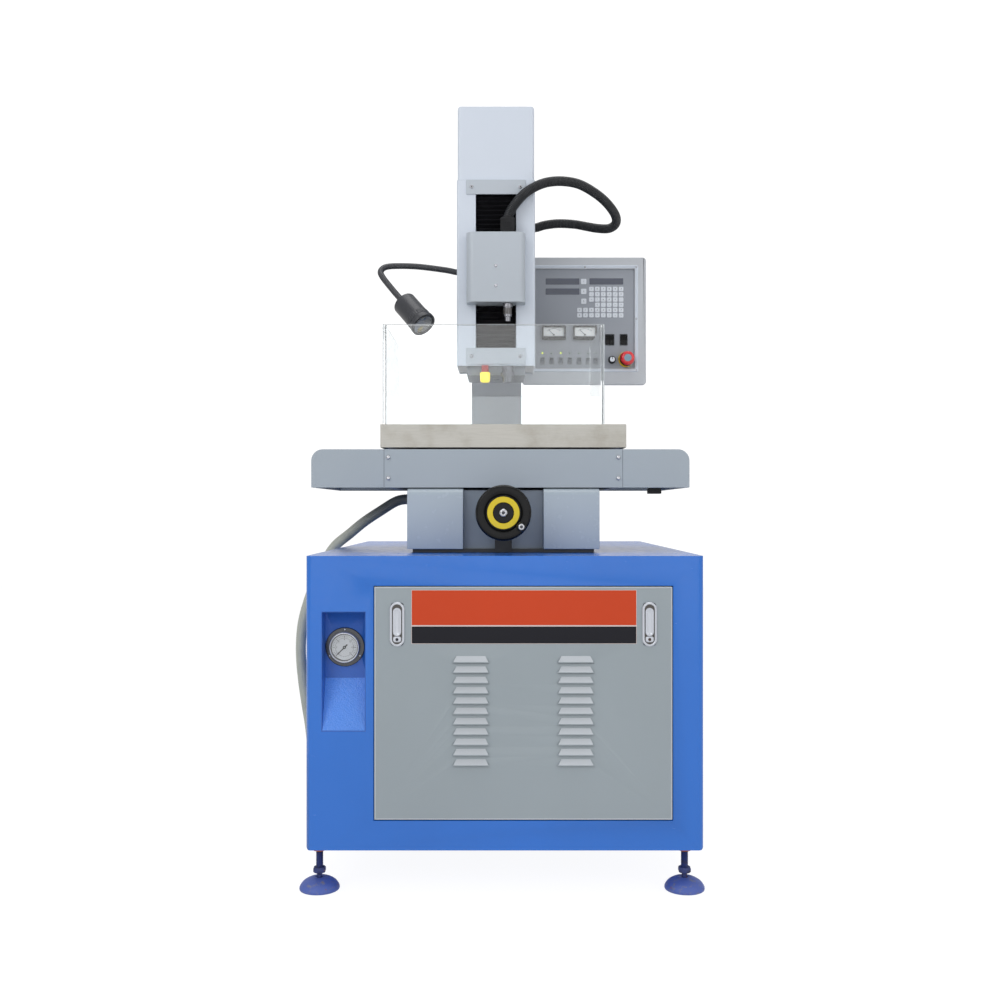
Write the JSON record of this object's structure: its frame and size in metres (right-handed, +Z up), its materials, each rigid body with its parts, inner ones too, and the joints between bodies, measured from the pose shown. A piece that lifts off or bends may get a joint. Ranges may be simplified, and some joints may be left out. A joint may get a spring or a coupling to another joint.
{
  "type": "edm small-hole drilling machine",
  "caption": "Spark-erosion small-hole drilling machine: handwheel and screw driven table in a clear guard, servo head on a rear column, control box, work lamp and a cabinet on levelling feet.",
  "frame": {"origin": "bottom centre of the machine's box, on the floor, without the drain hose and the conduit", "axes": "+Z up, +Y to the back away from the operator, +X to the operator's right"},
  "size_m": [1.0125, 1.106, 1.891],
  "materials": {
    "cabinet_blue": "satin textured enamel",
    "door_grey": "satin powder coat",
    "stage_grey": "satin powder coat",
    "head_grey": "satin powder coat",
    "cast_grey": "painted casting",
    "dark_iron": "machined and blackened",
    "ground_steel": "ground, slightly stained",
    "bright_steel": "turned",
    "aluminium": "satin anodised",
    "chrome": "polished",
    "black_plastic": "moulded",
    "black_gloss": "moulded",
    "white_plastic": "membrane keys",
    "red_plastic": "moulded",
    "clear_acrylic": "clear cast sheet",
    "clear_glass": "clear",
    "hose_plastic": "translucent ribbed hose",
    "black_rubber": "matt",
    "bellows_cloth": "coated cloth",
    "panel_grey": "satin panel",
    "lamp_black": "satin black"
  },
  "bodies": {
    "frame": {"cabinet_shell": "cabinet_blue", "gauge_recess": "cabinet_blue", "foot_studs": "dark_iron", "foot_pads": "cabinet_blue", "water_tank": "white_plastic", "pump_unit": "dark_iron", "power_supply": "aluminium", "gauge_case": "bright_steel", "gauge_glass": "clear_glass", "bed": "dark_iron", "bed_covers": "head_grey", "screw_bracket": "dark_iron", "column": "stage_grey", "head_frame": "cast_grey", "head_cover": "head_grey", "top_cover": "head_grey", "head_base": "dark_iron", "z_motor": "black_plastic", "electrode_guide": "chrome", "indicator_light": "red_plastic", "control_box": "head_grey", "faceplate": "panel_grey", "keypad_keys": "white_plastic", "meter_cases": "black_gloss", "lamp_arm": "lamp_black", "lamp_head": "lamp_black", "drain_hose": "hose_plastic", "hose_fittings": "aluminium", "conduit": "black_rubber", "bellows": "bellows_cloth"},
    "door": {"door": "door_grey", "latch_bodies": "chrome"},
    "latch_left": {"latch_lever_left": "chrome"},
    "latch_right": {"latch_lever_right": "chrome"},
    "handwheel": {"handwheel": "black_gloss", "y_screw": "bright_steel"},
    "crank_knob": {"crank_knob": "black_gloss"},
    "saddle": {"saddle": "cast_grey", "stage_covers": "stage_grey"},
    "table": {"worktable": "ground_steel", "guard": "clear_acrylic"},
    "x_screw": {"x_screw": "bright_steel"},
    "carriage": {"carriage": "aluminium"},
    "spindle": {"spindle": "chrome"},
    "z_screw": {"z_screw": "bright_steel"},
    "e_stop": {"e_stop": "red_plastic"},
    "selector_knob": {"selector_knob": "black_gloss"},
    "gauge_needle": {"gauge_needle": "black_plastic"},
    "meter_needle_left": {"meter_needle_left": "black_plastic"},
    "meter_needle_right": {"meter_needle_right": "black_plastic"},
    "power_rocker_1": {"power_rocker_1": "black_gloss"},
    "power_rocker_2": {"power_rocker_2": "black_gloss"},
    "power_rocker_3": {"power_rocker_3": "black_gloss"},
    "mode_rocker_1": {"mode_rocker_1": "black_gloss"},
    "mode_rocker_2": {"mode_rocker_2": "black_gloss"},
    "mode_rocker_3": {"mode_rocker_3": "black_gloss"},
    "mode_rocker_4": {"mode_rocker_4": "black_gloss"},
    "mode_rocker_5": {"mode_rocker_5": "black_gloss"},
    "mode_rocker_6": {"mode_rocker_6": "black_gloss"},
    "mode_rocker_7": {"mode_rocker_7": "black_gloss"}
  },
  "joints": [
    {"name": "handwheel_turn", "type": "hinge", "parent": "frame", "child": "handwheel", "pos_m": [0.0065, -0.496, 0.837], "axis": [0, 1, 0], "range_deg": [-7201, 7201]},
    {"name": "crank_knob_spin", "type": "hinge", "parent": "handwheel", "child": "crank_knob", "pos_m": [0.0459, -0.517, 0.80622], "axis": [0, 1, 0], "continuous": true},
    {"name": "saddle_y", "type": "slide", "parent": "frame", "child": "saddle", "axis": [0, 1, 0], "range_m": [-0.1, 0.1]},
    {"name": "x_screw_turn", "type": "hinge", "parent": "saddle", "child": "x_screw", "pos_m": [0.0065, -0.1495, 0.962], "axis": [1, 0, 0], "range_deg": [-9001, 9001]},
    {"name": "table_x", "type": "slide", "parent": "saddle", "child": "table", "axis": [1, 0, 0], "range_m": [-0.125, 0.125]},
    {"name": "z_screw_turn", "type": "hinge", "parent": "frame", "child": "z_screw", "pos_m": [-0.0125, -0.0125, 1.45], "axis": [0, 0, 1], "range_deg": [-6121, 5761]},
    {"name": "carriage_z", "type": "slide", "parent": "frame", "child": "carriage", "axis": [0, 0, 1], "range_m": [-0.085, 0.08], "deforming": ["bellows", "conduit"]},
    {"name": "spindle_spin", "type": "hinge", "parent": "carriage", "child": "spindle", "pos_m": [0.0175, -0.129, 1.35], "axis": [0, 0, 1], "continuous": true},
    {"name": "door_lift", "type": "slide", "parent": "frame", "child": "door", "axis": [0, -1, 0], "range_m": [0, 0.25]},
    {"name": "latch_left_swing", "type": "hinge", "parent": "door", "child": "latch_left", "pos_m": [-0.2255, -0.54845, 0.627], "axis": [-1, 0, 0], "range_deg": [0, 30]},
    {"name": "latch_right_swing", "type": "hinge", "parent": "door", "child": "latch_right", "pos_m": [0.3255, -0.54845, 0.627], "axis": [-1, 0, 0], "range_deg": [0, 30]},
    {"name": "e_stop_push", "type": "slide", "parent": "frame", "child": "e_stop", "axis": [0, 1, 0], "range_m": [0, 0.005]},
    {"name": "selector_knob_turn", "type": "hinge", "parent": "frame", "child": "selector_knob", "pos_m": [0.3216, 0.213, 1.2782], "axis": [0, 1, 0], "range_deg": [-150, 150]},
    {"name": "gauge_needle_swing", "type": "hinge", "parent": "frame", "child": "gauge_needle", "pos_m": [-0.3457, -0.5125, 0.539], "axis": [0, 1, 0], "range_deg": [0, 270]},
    {"name": "meter_needle_left_swing", "type": "hinge", "parent": "frame", "child": "meter_needle_left", "pos_m": [0.1532, 0.2195, 1.3505], "axis": [0, 1, 0], "range_deg": [0, 90]},
    {"name": "meter_needle_right_swing", "type": "hinge", "parent": "frame", "child": "meter_needle_right", "pos_m": [0.2433, 0.2195, 1.3505], "axis": [0, 1, 0], "range_deg": [0, 90]},
    {"name": "power_rocker_1_tilt", "type": "hinge", "parent": "frame", "child": "power_rocker_1", "pos_m": [0.3097, 0.227, 1.3369], "axis": [-1, 0, 0], "range_deg": [0, 20]},
    {"name": "power_rocker_2_tilt", "type": "hinge", "parent": "frame", "child": "power_rocker_2", "pos_m": [0.3212, 0.227, 1.3369], "axis": [-1, 0, 0], "range_deg": [0, 20]},
    {"name": "power_rocker_3_tilt", "type": "hinge", "parent": "frame", "child": "power_rocker_3", "pos_m": [0.356, 0.227, 1.3369], "axis": [-1, 0, 0], "range_deg": [0, 20]},
    {"name": "mode_rocker_1_tilt", "type": "hinge", "parent": "frame", "child": "mode_rocker_1", "pos_m": [0.1201, 0.227, 1.2754], "axis": [-1, 0, 0], "range_deg": [0, 20]},
    {"name": "mode_rocker_2_tilt", "type": "hinge", "parent": "frame", "child": "mode_rocker_2", "pos_m": [0.1467, 0.227, 1.2754], "axis": [-1, 0, 0], "range_deg": [0, 20]},
    {"name": "mode_rocker_3_tilt", "type": "hinge", "parent": "frame", "child": "mode_rocker_3", "pos_m": [0.1733, 0.227, 1.2754], "axis": [-1, 0, 0], "range_deg": [0, 20]},
    {"name": "mode_rocker_4_tilt", "type": "hinge", "parent": "frame", "child": "mode_rocker_4", "pos_m": [0.1999, 0.227, 1.2754], "axis": [-1, 0, 0], "range_deg": [0, 20]},
    {"name": "mode_rocker_5_tilt", "type": "hinge", "parent": "frame", "child": "mode_rocker_5", "pos_m": [0.2265, 0.227, 1.2754], "axis": [-1, 0, 0], "range_deg": [0, 20]},
    {"name": "mode_rocker_6_tilt", "type": "hinge", "parent": "frame", "child": "mode_rocker_6", "pos_m": [0.2531, 0.227, 1.2754], "axis": [-1, 0, 0], "range_deg": [0, 20]},
    {"name": "mode_rocker_7_tilt", "type": "hinge", "parent": "frame", "child": "mode_rocker_7", "pos_m": [0.2797, 0.227, 1.2754], "axis": [-1, 0, 0], "range_deg": [0, 20]}
  ],
  "couplings": [
    {"joint": "handwheel_turn", "follows": "saddle_y", "rad_per_m": 1256.6},
    {"joint": "x_screw_turn", "follows": "table_x", "rad_per_m": 1256.6},
    {"joint": "z_screw_turn", "follows": "carriage_z", "rad_per_m": 1256.6}
  ]
}
